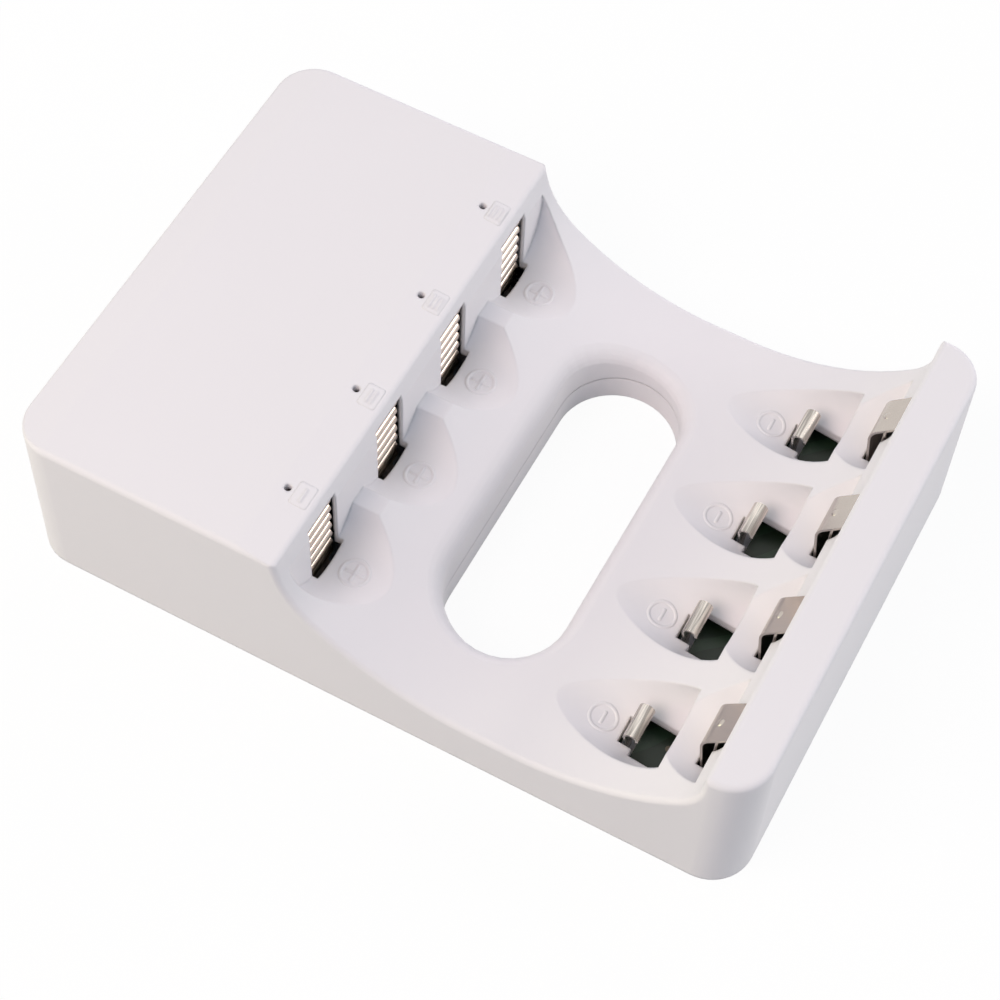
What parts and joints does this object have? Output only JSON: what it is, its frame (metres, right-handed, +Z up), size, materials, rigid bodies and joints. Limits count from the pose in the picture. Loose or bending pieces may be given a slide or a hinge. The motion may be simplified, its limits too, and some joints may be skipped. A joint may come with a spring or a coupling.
{
  "type": "battery charger for aa and aaa cells",
  "caption": "Desktop charger for AA and AAA rechargeable cells: white case with a high rear block, dished bed of cell bays, finger hole, ribbed positive plates and sprung leaf contacts.",
  "frame": {"origin": "on the table, under the middle of the case", "axes": "X across the bays, +Y towards the rear block, +Z up"},
  "size_m": [0.0644, 0.0926, 0.0236],
  "materials": {
    "case_white": "satin white moulded plastic",
    "contact_nickel": "nickel-plated spring steel",
    "board_green": "dark green circuit board",
    "led_lens": "milky lens",
    "tinned_lead": "tinned wire",
    "inlet_steel": "plated steel shell",
    "inlet_plastic": "black insulator",
    "component_black": "black moulded component",
    "capacitor_can": "aluminium can",
    "wire_black": "black wire insulation",
    "screw_zinc": "zinc-plated screw"
  },
  "bodies": {
    "case": {"top_housing": "case_white", "bottom_cover": "case_white", "main_board": "board_green", "front_board": "board_green", "positive_contact_1": "contact_nickel", "positive_contact_2": "contact_nickel", "positive_contact_3": "contact_nickel", "positive_contact_4": "contact_nickel", "led_1": "led_lens", "led_2": "led_lens", "led_3": "led_lens", "led_4": "led_lens", "led_leads": "tinned_lead", "inlet_shell": "inlet_steel", "inlet_tongue": "inlet_plastic", "control_chip": "component_black", "charge_transistors": "component_black", "sense_resistors": "component_black", "filter_capacitor": "capacitor_can", "jumper_wires": "wire_black", "case_screws": "screw_zinc"},
    "aa_leaf_1": {"aa_spring_1": "contact_nickel"},
    "aa_leaf_2": {"aa_spring_2": "contact_nickel"},
    "aa_leaf_3": {"aa_spring_3": "contact_nickel"},
    "aa_leaf_4": {"aa_spring_4": "contact_nickel"},
    "aaa_leaf_1": {"aaa_spring_1": "contact_nickel"},
    "aaa_leaf_2": {"aaa_spring_2": "contact_nickel"},
    "aaa_leaf_3": {"aaa_spring_3": "contact_nickel"},
    "aaa_leaf_4": {"aaa_spring_4": "contact_nickel"}
  },
  "joints": [
    {"name": "aa_leaf_1_flex", "type": "hinge", "parent": "case", "child": "aa_leaf_1", "pos_m": [-0.0225, -0.0386, 0.0024], "axis": [1, 0, 0], "range_deg": [0, 8], "stiffness_Nm_per_rad": 0.4},
    {"name": "aa_leaf_2_flex", "type": "hinge", "parent": "case", "child": "aa_leaf_2", "pos_m": [-0.0075, -0.0386, 0.0024], "axis": [1, 0, 0], "range_deg": [0, 8], "stiffness_Nm_per_rad": 0.4},
    {"name": "aa_leaf_3_flex", "type": "hinge", "parent": "case", "child": "aa_leaf_3", "pos_m": [0.0075, -0.0386, 0.0024], "axis": [1, 0, 0], "range_deg": [0, 8], "stiffness_Nm_per_rad": 0.4},
    {"name": "aa_leaf_4_flex", "type": "hinge", "parent": "case", "child": "aa_leaf_4", "pos_m": [0.0225, -0.0386, 0.0024], "axis": [1, 0, 0], "range_deg": [0, 8], "stiffness_Nm_per_rad": 0.4},
    {"name": "aaa_leaf_1_flex", "type": "hinge", "parent": "case", "child": "aaa_leaf_1", "pos_m": [-0.0225, -0.0284, 0.0024], "axis": [1, 0, 0], "range_deg": [0, 30], "stiffness_Nm_per_rad": 0.08},
    {"name": "aaa_leaf_2_flex", "type": "hinge", "parent": "case", "child": "aaa_leaf_2", "pos_m": [-0.0075, -0.0284, 0.0024], "axis": [1, 0, 0], "range_deg": [0, 30], "stiffness_Nm_per_rad": 0.08},
    {"name": "aaa_leaf_3_flex", "type": "hinge", "parent": "case", "child": "aaa_leaf_3", "pos_m": [0.0075, -0.0284, 0.0024], "axis": [1, 0, 0], "range_deg": [0, 30], "stiffness_Nm_per_rad": 0.08},
    {"name": "aaa_leaf_4_flex", "type": "hinge", "parent": "case", "child": "aaa_leaf_4", "pos_m": [0.0225, -0.0284, 0.0024], "axis": [1, 0, 0], "range_deg": [0, 30], "stiffness_Nm_per_rad": 0.08}
  ]
}
